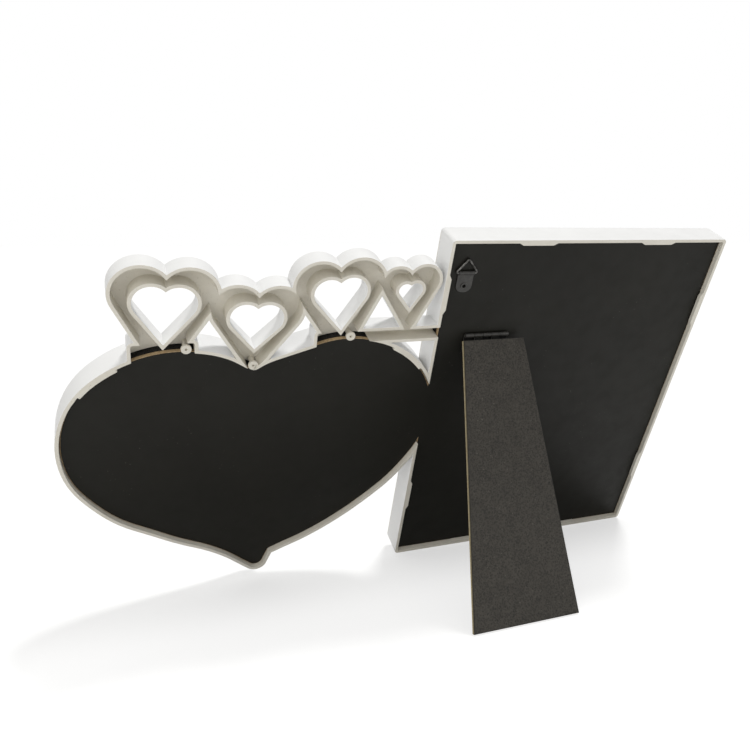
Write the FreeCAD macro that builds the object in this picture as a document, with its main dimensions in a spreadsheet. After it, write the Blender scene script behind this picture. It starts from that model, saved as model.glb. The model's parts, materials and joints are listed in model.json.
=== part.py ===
"""Double photo frame: a heart and an upright rectangle moulded as one shell, with an openwork crest.

Millimetres. The frame is drawn upright, seen from the front: X to the right, Y to the rear, Z up.
X is zero at the rectangle's side that carries the heart, Y is zero at the rear rim, and Z is zero
at the bottom edge. Every piece is then leaned back and set on the floor by its Placement.
"""
import FreeCAD, Part
import math
import os
import Sketcher

Vector = FreeCAD.Vector
Rotation = FreeCAD.Rotation
Placement = FreeCAD.Placement

SIZES = {
    # moulded shell
    "frame_height": 220.0,
    "frame_width": 174.0,
    "frame_depth": 18.5,
    "shell_wall": 1.9,
    "front_plate": 2.6,
    "frame_corner": 2.2,
    "front_round": 3.0,
    "frame_border": 27.0,
    "heart_border": 18.0,
    "sight_step_width": 2.2,
    "sight_step_depth": 1.2,
    # heart outline
    "heart_width": 200.0,
    "heart_height": 161.0,
    "heart_overlap": 8.0,
    "heart_tip_up": 6.0,
    "tail_radius": 6.5,
    "notch_radius": 2.5,
    # crest
    "crest_depth": 11.0,
    "crest_floor": 2.0,
    "crest_wall": 1.8,
    "crest_band": 10.6,
    "crest_foot_round": 3.0,
    # nubs and bosses that hold the board in
    "nub_length": 23.0,
    "nub_taper": 2.5,
    "nub_reach": 1.3,
    "nub_clearance": 0.15,
    "boss_radius": 1.4,
    "boss_head_radius": 2.5,
    "boss_head_height": 1.6,
    "boss_pin_hole": 0.6,
    # board and what lies in front of it
    "board_recess": 2.6,
    "board_thickness": 2.2,
    "board_facing": 0.2,
    "board_clearance": 0.35,
    "facing_inset": 0.3,
    "sheet_thickness": 1.0,
    "insert_thickness": 0.3,
    "insert_clearance": 0.5,
    "pad_gap": 0.4,
    # easel leg
    "lean_angle": 24.0,
    "leg_open_angle": 41.3,
    "leg_across": 34.6,
    "leg_top_width": 37.0,
    "leg_foot_width": 63.6,
    "leg_foot_shift": 0.5,
    "leg_thickness": 2.3,
    "leg_cover": 0.25,
    "leg_cover_inset": 0.25,
    # leg hinge
    "hinge_across": 31.5,
    "hinge_up": 163.2,
    "hinge_width": 26.2,
    "leaf_thickness": 0.6,
    "leaf_length": 9.0,
    "knuckle_radius": 1.15,
    "knuckle_gap": 1.9,
    "knuckle_side_gap": 0.2,
    "knuckle_lift": 0.2,
    "pin_radius": 0.6,
    "pin_clearance": 0.05,
    "fold_clearance": 0.1,
    "rivet_radius": 1.0,
    "rivet_head_radius": 1.9,
    "rivet_head": 0.3,
    "rivet_tail": 0.3,
    "rivet_spacing": 15.0,
    "rivet_clearance": 0.05,
    # wall hanger
    "hanger_across": 11.7,
    "hanger_drop": 18.8,
    "strap_width": 9.0,
    "strap_length": 11.4,
    "strap_layer": 0.4,
    "strap_corner": 4.0,
    "ring_wire": 0.6,
    "ring_width": 12.6,
    "ring_height": 7.8,
    "ring_bend": 0.7,
    "eyelet_radius": 1.3,
    "eyelet_hole": 1.0,
    "eyelet_flange": 2.0,
    "eyelet_flange_height": 0.35,
    "eyelet_tail": 0.3,
    "eyelet_drop": 7.7,
    # cutting tools run past the faces they cut by this much
    "overrun": 5.0,
}

# The heart's outline, from its lowest point, as shares of its width and height.
HEART_FREE_SIDE_SHARES = [
    (0.100, 0.099), (0.260, 0.221), (0.400, 0.351), (0.4925, 0.553), (0.494, 0.702),
    (0.450, 0.835), (0.350, 0.940), (0.205, 0.984), (0.090, 0.953),
]
HEART_FRAME_SIDE_SHARES = [
    (-0.045, 0.076), (-0.1685, 0.148), (-0.3005, 0.263), (-0.410, 0.4006), (-0.480, 0.565),
    (-0.490, 0.696), (-0.4435, 0.848), (-0.355, 0.950), (-0.215, 0.999), (-0.075, 0.960),
]
HEART_NOTCH_SHARES = (0.030, 0.908)
# Headings in degrees where the round tail ends, and the slope of the lobes at the notch.
TAIL_FREE_ANGLE = -49.0
TAIL_FRAME_ANGLE = -155.0
NOTCH_SLOPE = 35.0
# A run that turns by less than this many radians is drawn straight.
STRAIGHT_BEND = 1e-6

# A crest heart's lobe radius as a share of its width.
CREST_LOBE_SHARE = 0.290

# The crest's hearts, from the one farthest from the rectangle: place of the tip across and up,
# counted from the big heart's tip, width and height, all as shares of the big heart's width and
# height, and the tilt in degrees.
CREST_HEARTS_SHARES = [
    (0.250, 0.870, 0.250, 0.388, -4.0),
    (0.035, 0.862, 0.235, 0.330, -3.0),
    (-0.195, 0.888, 0.240, 0.384, 5.0),
    (-0.369, 0.977, 0.170, 0.272, 4.0),
]
# The height of a crest heart's opening, as a share of what the heart's own shape would give it.
OPENING_HEIGHT_SHARE = 0.84
# The feet under two of the crest's hearts: both ends across, lower and upper edge up, counted alike.
CREST_FEET_SHARES = [(0.162, 0.323, 0.880, 1.017), (-0.250, -0.1175, 0.930, 1.028)]
# The bar between the crest and the rectangle: its end across, lower and upper edge up, counted alike.
CREST_BAR_SHARES = (-0.220, 0.969, 1.028)

# Nubs on the rectangle's walls: the wall, and the nub's middle as a share of that wall.
FRAME_NUB_SHARES = [
    ("top", 0.285), ("top", 0.725), ("bottom", 0.285), ("bottom", 0.725),
    ("heart_side", 0.860), ("heart_side", 0.228), ("free_side", 0.790), ("free_side", 0.228),
]
# Nubs on the heart's wall: the middle, as shares of the heart's width and height from its tip.
HEART_NUB_SHARES = [(0.398, 0.893), (-0.390, 0.917)]
# Posts in the crest that hold the board's top edge, counted like the nubs on the heart's wall.
CREST_BOSS_SHARES = [(-0.215, 0.9975), (0.030, 0.910), (0.190, 0.981)]

# The hinge's knuckles, counted over both leaves.
KNUCKLES = 5
# Where a sketch's points start out, before their formulas place them.
GUESS = 1.0

doc = FreeCAD.newDocument("heart_photo_frame")
sheet = doc.addObject("Spreadsheet::Sheet", "sizes")
for row, (alias, number) in enumerate(SIZES.items(), start=1):
    sheet.set("A%d" % row, alias)
    sheet.set("B%d" % row, str(number))
    sheet.setAlias("B%d" % row, alias)
doc.recompute()


def size(alias):
    """A driving dimension, read from the sheet."""
    return float(sheet.get(alias))


# Values that several pieces share, worked out from the sheet.
WALL = size("shell_wall")
DEPTH = size("frame_depth")
OVER = size("overrun")
BOARD_REAR = -size("board_recess")
CORE_REAR = BOARD_REAR - size("board_facing")
BOARD_FRONT = CORE_REAR - size("board_thickness")
PLATE_REAR = size("front_plate") - DEPTH
SHEET_REAR = PLATE_REAR + size("sheet_thickness")
INSERT_REAR = SHEET_REAR + size("insert_thickness")
PAD_REAR = BOARD_FRONT - size("pad_gap")
CREST_FRONT = -size("crest_depth")
CREST_FLOOR = CREST_FRONT + size("crest_floor")
HINGE_REAR = BOARD_REAR + size("knuckle_radius") + size("knuckle_lift")
BOARD_LEAF_LOW = BOARD_REAR - HINGE_REAR
LEG_LEAF_LOW = BOARD_LEAF_LOW + size("leaf_thickness") + size("fold_clearance")
LEG_INNER = LEG_LEAF_LOW + size("leaf_thickness")
LEG_TOP_GAP = size("knuckle_radius") + size("knuckle_gap")
RIVET_DROP = LEG_TOP_GAP + size("leaf_length") / 2.0
RING_REAR = BOARD_REAR + size("ring_wire") + size("pin_clearance") + size("strap_layer")
LEAN = math.radians(size("lean_angle"))
LEG_SLOPE = math.radians(size("leg_open_angle") - size("lean_angle"))
HINGE_ABOVE_FLOOR = size("hinge_up") * math.cos(LEAN) - HINGE_REAR * math.sin(LEAN)
# The leg's inner foot edge meets the floor: its corner lies LEG_INNER off the line from the hinge.
LEG_REACH = HINGE_ABOVE_FLOOR / math.cos(LEG_SLOPE) + LEG_INNER * math.tan(LEG_SLOPE)


# The heart's lobe reaches past the rectangle's side by the overlap.
FRAME_SIDE_REACH = max(-across_share for across_share, _ in HEART_FRAME_SIDE_SHARES) * size("heart_width")
HEART_TIP = Vector(FRAME_SIDE_REACH - size("heart_overlap"), 0.0, size("heart_tip_up"))
HANGER_UP = size("frame_height") - size("hanger_drop")


def flat_point(across, up):
    """A point in the frame's rear rim plane."""
    return Vector(across, 0.0, up)


def heart_point(across_share, up_share):
    """A point counted from the big heart's tip, in shares of its width and height."""
    return HEART_TIP + Vector(across_share * size("heart_width"), 0.0, up_share * size("heart_height"))


def direction(degrees):
    """A unit vector in the rim plane, counted from +X towards +Z."""
    angle = math.radians(degrees)
    return Vector(math.cos(angle), 0.0, math.sin(angle))


def plate(face, front, rear):
    """A flat face in the rim plane, as a solid from depth front to depth rear."""
    moved = face.copy()
    moved.translate(Vector(0.0, front, 0.0))
    return moved.extrude(Vector(0.0, rear - front, 0.0))


def polygon_face(corners):
    """A face in the rim plane with straight sides."""
    points = [flat_point(across, up) for across, up in corners]
    return Part.Face(Part.makePolygon(points + points[:1]))


def rectangle_face(left, right, low, high):
    """A rectangle in the rim plane."""
    return polygon_face([(left, low), (right, low), (right, high), (left, high)])


def disc_face(across, up, radius):
    """A disc in the rim plane."""
    circle = Part.Circle(flat_point(across, up), Vector(0.0, -1.0, 0.0), radius)
    return Part.Face(Part.Wire(circle.toShape()))


def inset(face, distance):
    """The face with its outline moved inwards."""
    return face.makeOffset2D(-distance)


def joined(shapes):
    """One shape out of several that overlap or touch."""
    first = shapes[0]
    return first.multiFuse(shapes[1:]).removeSplitter() if len(shapes) > 1 else first


def only_solid(shape):
    """The single solid that a boolean wraps in a compound."""
    if len(shape.Solids) != 1:
        raise ValueError("expected one solid, found %d" % len(shape.Solids))
    return shape.Solids[0]


def arc_along(start, heading, end):
    """An arc that leaves start along heading and ends at end, and the heading it ends with."""
    chord = end - start
    along = chord * (1.0 / chord.Length)
    side = Vector(-along.z, 0.0, along.x)
    bend = math.atan2(heading.dot(side), heading.dot(along))
    leaving = along * math.cos(bend) - side * math.sin(bend)
    if abs(bend) < STRAIGHT_BEND:
        return Part.LineSegment(start, end).toShape(), leaving
    middle = (start + end) * 0.5 + side * (chord.Length * 0.5 * math.tan(bend * 0.5))
    return Part.Arc(start, middle, end).toShape(), leaving


def arcs_between(start, heading, end, leaving):
    """Two arcs that join smoothly, from start along heading to end along leaving."""
    chord = end - start
    both = heading + leaving
    spread = 2.0 * (1.0 - heading.dot(leaving))
    pull = chord.dot(both)
    square = chord.dot(chord)
    if spread < STRAIGHT_BEND:
        reach = square / (2.0 * pull)
    else:
        reach = (math.sqrt(pull * pull + spread * square) - pull) / spread
    joint = (start + end + (heading - leaving) * reach) * 0.5
    first, turned = arc_along(start, heading, joint)
    second, _ = arc_along(joint, turned, end)
    return [first, second]


def smooth_edges(points, heading, leaving):
    """Smoothly joined arcs through all the points, with the headings at both ends given."""
    headings = [heading]
    for index in range(1, len(points) - 1):
        back = points[index] - points[index - 1]
        ahead = points[index + 1] - points[index]
        turn = back * (1.0 / back.dot(back)) + ahead * (1.0 / ahead.dot(ahead))
        headings.append(turn.normalize())
    headings.append(leaving)
    edges = []
    for index in range(len(points) - 1):
        edges += arcs_between(points[index], headings[index], points[index + 1], headings[index + 1])
    return edges


def heart_face():
    """The big heart's outline: a round tail, two sides and a rounded notch."""
    tail_radius = size("tail_radius")
    notch_radius = size("notch_radius")
    tail_centre = HEART_TIP + Vector(0.0, 0.0, tail_radius)
    tail_free = tail_centre + direction(TAIL_FREE_ANGLE) * tail_radius
    tail_frame = tail_centre + direction(TAIL_FRAME_ANGLE) * tail_radius
    notch = heart_point(*HEART_NOTCH_SHARES)
    notch_centre = notch + Vector(0.0, 0.0, notch_radius)
    notch_free = notch_centre + direction(-90.0 + NOTCH_SLOPE) * notch_radius
    notch_frame = notch_centre + direction(-90.0 - NOTCH_SLOPE) * notch_radius
    free_side = [tail_free] + [heart_point(*shares) for shares in HEART_FREE_SIDE_SHARES] + [notch_free]
    frame_side = [heart_point(*shares) for shares in HEART_FRAME_SIDE_SHARES] + [notch_frame]
    edges = smooth_edges(free_side, direction(TAIL_FREE_ANGLE + 90.0), direction(180.0 + NOTCH_SLOPE))
    edges += smooth_edges(frame_side, (frame_side[1] - frame_side[0]).normalize(), direction(-NOTCH_SLOPE))
    edges += [
        Part.Arc(tail_frame, HEART_TIP, tail_free).toShape(),
        Part.Arc(notch_free, notch, notch_frame).toShape(),
        Part.LineSegment(frame_side[0], tail_frame).toShape(),
    ]
    return Part.Face(Part.Wire(Part.__sortEdges__(edges)))


def crest_heart_face(place, width, height, tilt, grow):
    """A small heart of two round lobes and two straight sides, turned about its tip by tilt.

    Its outline is moved outwards by grow, or inwards where grow is negative.
    """
    lobe = CREST_LOBE_SHARE * width
    spread = width / 2.0 - lobe
    lobe_up = height - lobe
    half_angle = math.atan2(spread, lobe_up) + math.asin(lobe / math.hypot(spread, lobe_up))
    radius = lobe + grow
    side_across = spread + radius * math.cos(half_angle)
    side_up = lobe_up - radius * math.sin(half_angle)
    body = polygon_face([(0.0, -grow / math.sin(half_angle)), (side_across, side_up), (spread, lobe_up),
                         (-spread, lobe_up), (-side_across, side_up)])
    face = joined([body, disc_face(spread, lobe_up, radius), disc_face(-spread, lobe_up, radius)])
    face.rotate(Vector(0.0, 0.0, 0.0), Vector(0.0, 1.0, 0.0), tilt)
    face.translate(place)
    if len(face.Faces) != 1:
        raise ValueError("a crest heart is in %d faces" % len(face.Faces))
    return face.Faces[0]


def rounded_rectangle_face(left, right, low, high, radius):
    """A rectangle in the rim plane with round corners."""
    core = rectangle_face(left + radius, right - radius, low + radius, high - radius)
    return core.makeOffset2D(radius)


def edges_at_depth(solid, depth):
    """The edges that lie wholly at one depth."""
    close = solid.getTolerance(1)
    found = []
    for edge in solid.Edges:
        box = edge.BoundBox
        if abs(box.YMin - depth) < close and abs(box.YMax - depth) < close:
            found.append(edge)
    return found


FRAME_FACE = rounded_rectangle_face(-size("frame_width"), 0.0, 0.0, size("frame_height"),
                                    size("frame_corner"))
FRAME_INNER = rectangle_face(WALL - size("frame_width"), -WALL, WALL, size("frame_height") - WALL)
HEART_FACE = heart_face()
HEART_INNER = inset(HEART_FACE, WALL)
FREE_HALF = rectangle_face(0.0, size("heart_width"), -OVER, size("frame_height"))
HEART_OUTER_PART = HEART_FACE.common(FREE_HALF).Faces[0]
HEART_CAVITY = HEART_INNER.common(FREE_HALF).Faces[0]
FRAME_WINDOW = rectangle_face(
    size("frame_border") - size("frame_width"), -size("frame_border"),
    size("frame_border"), size("frame_height") - size("frame_border"))
HEART_WINDOW = inset(HEART_FACE, size("heart_border"))
HEART_SIGHT_STEP = inset(HEART_FACE, size("heart_border") - size("sight_step_width"))


def crest_faces():
    """The crest's outlines: outer forms, the through openings and the pocket behind."""
    wall = size("crest_wall")
    band = size("crest_band")
    forms = []
    openings = []
    pockets = []
    keep_walls = []
    for across, up, width_share, height_share, tilt in CREST_HEARTS_SHARES:
        place = heart_point(across, up)
        width = width_share * size("heart_width")
        height = height_share * size("heart_height")
        forms.append(crest_heart_face(place, width, height, tilt, 0.0))
        pockets.append(crest_heart_face(place, width, height, tilt, -wall))
        # The opening is a smaller, flatter heart, with the same band at its lobes and top.
        inner_width = width - band - band
        inner_height = OPENING_HEIGHT_SHARE * inner_width * height / width
        raised = height - band - inner_height
        lean = math.radians(tilt)
        inner_place = place + Vector(raised * math.sin(lean), 0.0, raised * math.cos(lean))
        openings.append(crest_heart_face(inner_place, inner_width, inner_height, tilt, 0.0))
        keep_walls.append(crest_heart_face(inner_place, inner_width, inner_height, tilt, wall))
    for near, far, low_up, high_up in CREST_FEET_SHARES:
        low = heart_point(near, low_up)
        high = heart_point(far, high_up)
        foot_round = size("crest_foot_round")
        forms.append(rounded_rectangle_face(low.x, high.x, low.z, high.z, foot_round))
        pockets.append(rounded_rectangle_face(low.x + wall, high.x - wall, low.z, high.z - wall,
                                              foot_round - wall))
    bar_across, bar_low_up, bar_high_up = CREST_BAR_SHARES
    bar_low = heart_point(bar_across, bar_low_up)
    bar_top = heart_point(bar_across, bar_high_up).z
    bar = rectangle_face(-WALL, bar_low.x, bar_low.z, bar_top)
    pockets.append(rectangle_face(-WALL - OVER, bar_low.x - wall, bar_low.z + wall, bar_top - wall))
    return forms + [bar], openings, pockets, keep_walls


def frame_nubs():
    """Tapered nubs on the rectangle's walls, over the board's edge."""
    half = size("nub_length") / 2.0
    taper = size("nub_taper")
    reach = size("nub_reach")
    left = WALL - size("frame_width")
    top = size("frame_height") - WALL
    places = {
        "top": (0.0, top, "across", -1.0),
        "bottom": (0.0, WALL, "across", 1.0),
        "heart_side": (-WALL, 0.0, "up", -1.0),
        "free_side": (left, 0.0, "up", 1.0),
    }
    nubs = []
    for wall_name, share in FRAME_NUB_SHARES:
        wall_across, wall_up, run, inward = places[wall_name]
        profile = [(-half, -inward * WALL / 2.0), (-half, 0.0), (taper - half, inward * reach),
                   (half - taper, inward * reach), (half, 0.0), (half, -inward * WALL / 2.0)]
        if run == "across":
            middle = -share * size("frame_width")
            corners = [(middle + along, wall_up + out) for along, out in profile]
        else:
            middle = share * size("frame_height")
            corners = [(wall_across + out, middle + along) for along, out in profile]
        nubs.append(plate(polygon_face(corners), BOARD_REAR + size("nub_clearance"), 0.0))
    return nubs


def heart_nubs():
    """Nubs along the heart's curved wall."""
    reach = size("nub_reach")
    ring = HEART_INNER.makeOffset2D(WALL / 2.0).cut(inset(HEART_INNER, reach))
    nubs = []
    for shares in HEART_NUB_SHARES:
        middle = heart_point(*shares)
        spot = disc_face(middle.x, middle.z, size("nub_length") / 2.0)
        for face in ring.common(spot).Faces:
            nubs.append(plate(face, BOARD_REAR + size("nub_clearance"), 0.0))
    return nubs


def crest_bosses():
    """Posts from the crest's floor, each with a head that reaches over the board's top edge."""
    head_low = BOARD_REAR + size("nub_clearance")
    head_high = head_low + size("boss_head_height")
    bosses = []
    for shares in CREST_BOSS_SHARES:
        middle = heart_point(*shares)
        foot = CREST_FLOOR - size("crest_floor") / 2.0
        post = plate(disc_face(middle.x, middle.z, size("boss_radius")), foot, head_high)
        head = plate(disc_face(middle.x, middle.z, size("boss_head_radius")), head_low, head_high)
        hole = plate(disc_face(middle.x, middle.z, size("boss_pin_hole")), head_low, head_high + OVER)
        bosses.append(post.fuse(head).cut(hole))
    return bosses


def frame_shell_shape():
    """The white moulding: both frames, the crest, and the nubs that hold the board."""
    frame_block = plate(FRAME_FACE, -DEPTH, 0.0)
    frame_block = frame_block.makeFillet(size("front_round"), edges_at_depth(frame_block, -DEPTH))
    heart_block = plate(HEART_OUTER_PART, -DEPTH, 0.0)
    heart_block = heart_block.makeFillet(size("front_round"), edges_at_depth(heart_block, -DEPTH))
    forms, openings, pockets, keep_walls = crest_faces()
    crest_blocks = [plate(form, CREST_FRONT, 0.0) for form in forms]
    shell = joined([frame_block, heart_block] + crest_blocks)

    through = [plate(opening.cut(HEART_FACE), CREST_FRONT - OVER, OVER) for opening in openings]
    cavities = [
        plate(FRAME_INNER, PLATE_REAR, OVER),
        plate(HEART_CAVITY, PLATE_REAR, OVER),
    ]
    neck_slab = rectangle_face(-WALL - OVER, OVER, 0.0, size("frame_height"))
    neck = plate(HEART_INNER.common(neck_slab), BOARD_FRONT, OVER)
    hollow = joined([plate(pocket, CREST_FLOOR, OVER) for pocket in pockets])
    hollow = hollow.cut([plate(wall, CREST_FLOOR - OVER, OVER + OVER) for wall in keep_walls])
    shell = shell.cut(cavities + [neck, hollow] + through)

    step = size("sight_step_width")
    step_rear = size("sight_step_depth") - DEPTH
    windows = [
        plate(FRAME_WINDOW, -DEPTH - OVER, PLATE_REAR + OVER),
        plate(HEART_WINDOW, -DEPTH - OVER, PLATE_REAR + OVER),
        plate(FRAME_WINDOW.makeOffset2D(step), -DEPTH - OVER, step_rear),
        plate(HEART_SIGHT_STEP, -DEPTH - OVER, step_rear),
    ]
    shell = shell.cut(windows)
    return only_solid(joined([shell] + frame_nubs() + heart_nubs() + crest_bosses()))


def board_face(clearance):
    """The back board's outline: one board behind both frames, through the neck between them."""
    return joined([inset(HEART_INNER, clearance), inset(FRAME_INNER, clearance)]).Faces[0]


def board_holes():
    """Holes through the board for the hanger's eyelet and the hinge's rivets."""
    eyelet_radius = size("eyelet_radius") + size("rivet_clearance")
    rivet_radius = size("rivet_radius") + size("rivet_clearance")
    spots = [(-size("hanger_across"), HANGER_UP - size("eyelet_drop"), eyelet_radius)]
    rivet_up = size("hinge_up") - RIVET_DROP
    for side in (-1.0, 1.0):
        spots.append((-size("hinge_across") + side * size("rivet_spacing") / 2.0, rivet_up, rivet_radius))
    return [plate(disc_face(across, up, radius), BOARD_FRONT - OVER, OVER) for across, up, radius in spots]


def board_shape():
    """The board's core."""
    face = board_face(size("board_clearance"))
    return only_solid(plate(face, BOARD_FRONT, CORE_REAR).cut(board_holes()))


def facing_shape():
    """The thin facing on the board's rear."""
    face = board_face(size("board_clearance") + size("facing_inset"))
    return only_solid(plate(face, CORE_REAR, BOARD_REAR).cut(board_holes()))


def heart_layer_shape(front, rear):
    """One flat layer in the heart's cavity."""
    clearance = size("insert_clearance")
    beside = rectangle_face(clearance, size("heart_width"), -OVER, size("frame_height"))
    outline = inset(HEART_FACE, WALL + clearance).common(beside).Faces[0]
    return plate(outline, front, rear)


def ring_shape():
    """A triangle of round wire; the base runs along X through the origin, the top corner is up."""
    half = size("ring_width") / 2.0
    height = size("ring_height")
    corners = [Vector(-half, 0.0, 0.0), Vector(half, 0.0, 0.0), Vector(0.0, 0.0, height)]
    bend = size("ring_bend")
    edges = []
    starts = []
    ends = []
    for index, corner in enumerate(corners):
        back = (corners[index - 1] - corner).normalize()
        ahead = (corners[(index + 1) % len(corners)] - corner).normalize()
        half_turn = back.getAngle(ahead) / 2.0
        set_back = bend / math.tan(half_turn)
        inward = (back + ahead).normalize()
        arc_middle = corner + inward * (bend / math.sin(half_turn) - bend)
        starts.append(corner + back * set_back)
        ends.append(corner + ahead * set_back)
        edges.append(Part.Arc(starts[-1], arc_middle, ends[-1]).toShape())
    for index in range(len(corners)):
        edges.append(Part.LineSegment(ends[index], starts[(index + 1) % len(corners)]).toShape())
    path = Part.Wire(Part.__sortEdges__(edges))
    middle = Vector(0.0, 0.0, 0.0)
    section = Part.Wire(Part.Circle(middle, Vector(1.0, 0.0, 0.0), size("ring_wire")).toShape())
    # The sweep starts at the middle of the base, where the section is square to the wire.
    base = Part.LineSegment(ends[0], middle).toShape()
    rest = Part.LineSegment(middle, starts[1]).toShape()
    others = [edge for edge in path.Edges if edge.BoundBox.ZMax > Part.Vertex(middle).Tolerance]
    path = Part.Wire([rest] + ordered(others, starts[1]) + [base])
    sweep = path.makePipeShell([section], True, False)
    if not sweep.isClosed():
        raise ValueError("the ring did not close")
    return Part.Solid(sweep) if not sweep.Solids else sweep.Solids[0]


def ordered(edges, start):
    """Edges in the order in which they follow each other from a start point."""
    left = list(edges)
    chain = []
    point = start
    while left:
        nearest = min(left, key=lambda edge: min((v.Point - point).Length for v in edge.Vertexes))
        far = max(nearest.Vertexes, key=lambda vertex: (vertex.Point - point).Length)
        chain.append(nearest)
        left.remove(nearest)
        point = far.Point
    return chain


def origin_plane(body, role):
    """One of a body's own origin planes."""
    for feature in body.Origin.OriginFeatures:
        if feature.Role == role:
            return feature
    raise ValueError("no plane called " + role)


def new_body(name):
    """An empty body whose label names its file."""
    body = doc.addObject("PartDesign::Body", name)
    body.Label = name
    return body


def new_sketch(body, role, name):
    """An empty sketch on one of the body's origin planes."""
    sketch = body.newObject("Sketcher::SketchObject", name)
    sketch.AttachmentSupport = [(origin_plane(body, role), "")]
    sketch.MapMode = "FlatFace"
    return sketch


def place_point(sketch, geometry, end, start, across, along):
    """Hold a point of a sketch at two formulas, counted from the sketch's origin."""
    for kind, number, formula in (("DistanceX", start.x, across), ("DistanceY", start.y, along)):
        index = sketch.addConstraint(Sketcher.Constraint(kind, -1, 1, geometry, end, number))
        sketch.setExpression("Constraints[%d]" % index, formula)


def outline_sketch(body, role, name, outlines):
    """Closed outlines with straight sides; each corner is a pair of formulas."""
    sketch = new_sketch(body, role, name)
    for corners in outlines:
        first = sketch.GeometryCount
        count = len(corners)
        turns = [math.radians(360.0 * corner / count) for corner in range(count)]
        starts = [Vector(first + GUESS * math.cos(turn), GUESS * math.sin(turn), 0.0) for turn in turns]
        for corner in range(count):
            sketch.addGeometry(Part.LineSegment(starts[corner], starts[(corner + 1) % count]))
        for corner in range(count):
            ahead = first + (corner + 1) % count
            sketch.addConstraint(Sketcher.Constraint("Coincident", first + corner, 2, ahead, 1))
        for corner, (across, along) in enumerate(corners):
            place_point(sketch, first + corner, 1, starts[corner], across, along)
    return sketch


def circle_sketch(body, role, name, circles):
    """Circles; each has formulas for its middle and its radius."""
    sketch = new_sketch(body, role, name)
    for index, (across, along, radius) in enumerate(circles):
        start = Vector(index * GUESS, GUESS, 0.0)
        circle = Part.Circle(start, Vector(0.0, 0.0, 1.0), GUESS)
        sketch.addGeometry(circle)
        place_point(sketch, index, 3, start, across, along)
        rule = sketch.addConstraint(Sketcher.Constraint("Radius", index, circle.Radius))
        sketch.setExpression("Constraints[%d]" % rule, radius)
    return sketch


def pad(body, sketch, name, length, reverse=False, midplane=False):
    """Thicken a sketch into the body."""
    feature = body.newObject("PartDesign::Pad", name)
    feature.Profile = sketch
    feature.setExpression("Length", length)
    feature.Reversed = reverse
    feature.Midplane = midplane
    doc.recompute()
    return feature


def pocket(body, sketch, name, length, reverse=False, midplane=False):
    """Cut a sketch out of the body, and make sure that it cuts something."""
    before = body.Shape.Volume
    feature = body.newObject("PartDesign::Pocket", name)
    feature.Profile = sketch
    feature.setExpression("Length", length)
    feature.Reversed = reverse
    feature.Midplane = midplane
    doc.recompute()
    if body.Shape.Volume >= before:
        raise ValueError(name + " cuts nothing")
    return feature


def turned_body(name, profile):
    """A piece turned about its own Z axis from pairs of formulas: radius and height."""
    body = new_body(name)
    sketch = outline_sketch(body, "XZ_Plane", name + "_profile", [profile])
    turn = body.newObject("PartDesign::Revolution", name + "_turn")
    turn.Profile = sketch
    turn.ReferenceAxis = (sketch, ["V_Axis"])
    turn.Angle = 360.0
    doc.recompute()
    return body, sketch, turn


def repeated_across(body, sketch, feature, name, spacing):
    """Repeat a feature once along the sketch's horizontal axis."""
    pattern = body.newObject("PartDesign::LinearPattern", name)
    pattern.Originals = [feature]
    pattern.Direction = (sketch, ["H_Axis"])
    pattern.setExpression("Length", spacing)
    pattern.Occurrences = 2
    body.Tip = pattern
    doc.recompute()


def own_shape(name, shape):
    """A sub-part whose outline is a free curve."""
    feature = doc.addObject("Part::Feature", name)
    feature.Label = name
    feature.Shape = shape
    return feature


def rectangle_layer(name, thickness):
    """One flat layer in the rectangle's cavity."""
    box = doc.addObject("Part::Box", name)
    box.Label = name
    edge = "2 * (sizes.shell_wall + sizes.insert_clearance)"
    box.setExpression("Length", "sizes.frame_width - " + edge)
    box.setExpression("Width", thickness)
    box.setExpression("Height", "sizes.frame_height - " + edge)
    return box


# Formulas that several sketches share.
TOP_GAP = "(sizes.knuckle_radius + sizes.knuckle_gap)"
LEAF_END = "(%s + sizes.leaf_length)" % TOP_GAP
RIVET_HOLE = "sizes.rivet_radius + sizes.rivet_clearance"
HEAD_HOLE = "sizes.rivet_head_radius + sizes.rivet_clearance"
BOARD_BUILD = "(sizes.board_thickness + sizes.board_facing)"
FOOT_ANGLE = "((sizes.leg_open_angle - sizes.lean_angle) * 1 deg)"
LEAN_ANGLE = "(sizes.lean_angle * 1 deg)"
AXIS_OUT = "(sizes.knuckle_radius + sizes.knuckle_lift)"
INNER_OUT = "(2 * sizes.leaf_thickness + sizes.fold_clearance - %s)" % AXIS_OUT
AXIS_HEIGHT = "(sizes.hinge_up * cos(%s) + (sizes.board_recess - %s) * sin(%s))" % (
    LEAN_ANGLE, AXIS_OUT, LEAN_ANGLE)
FOOT_REACH = "(%s / cos(%s) + %s * tan(%s))" % (AXIS_HEIGHT, FOOT_ANGLE, INNER_OUT, FOOT_ANGLE)


def leg_outline(edge):
    """The leg's outline below the hinge axis: narrow at the hinge, wide at the foot."""
    top = "-%s - %s" % (TOP_GAP, edge)
    foot = "%s - %s" % (edge, FOOT_REACH)
    top_half = "(sizes.leg_top_width / 2 - %s)" % edge
    foot_half = "(sizes.leg_foot_width / 2 - %s)" % edge
    foot_shift = "sizes.leg_foot_shift"
    return [("-" + top_half, top), (top_half, top),
            (foot_shift + " + " + foot_half, foot), (foot_shift + " - " + foot_half, foot)]


def rivet_circles(middle, radius):
    """Two rivet holes across a leaf or the leg, in formulas."""
    drop = "-(%s + sizes.leaf_length / 2)" % TOP_GAP
    return [("%s - sizes.rivet_spacing / 2" % middle, drop, radius),
            ("%s + sizes.rivet_spacing / 2" % middle, drop, radius)]


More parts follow.
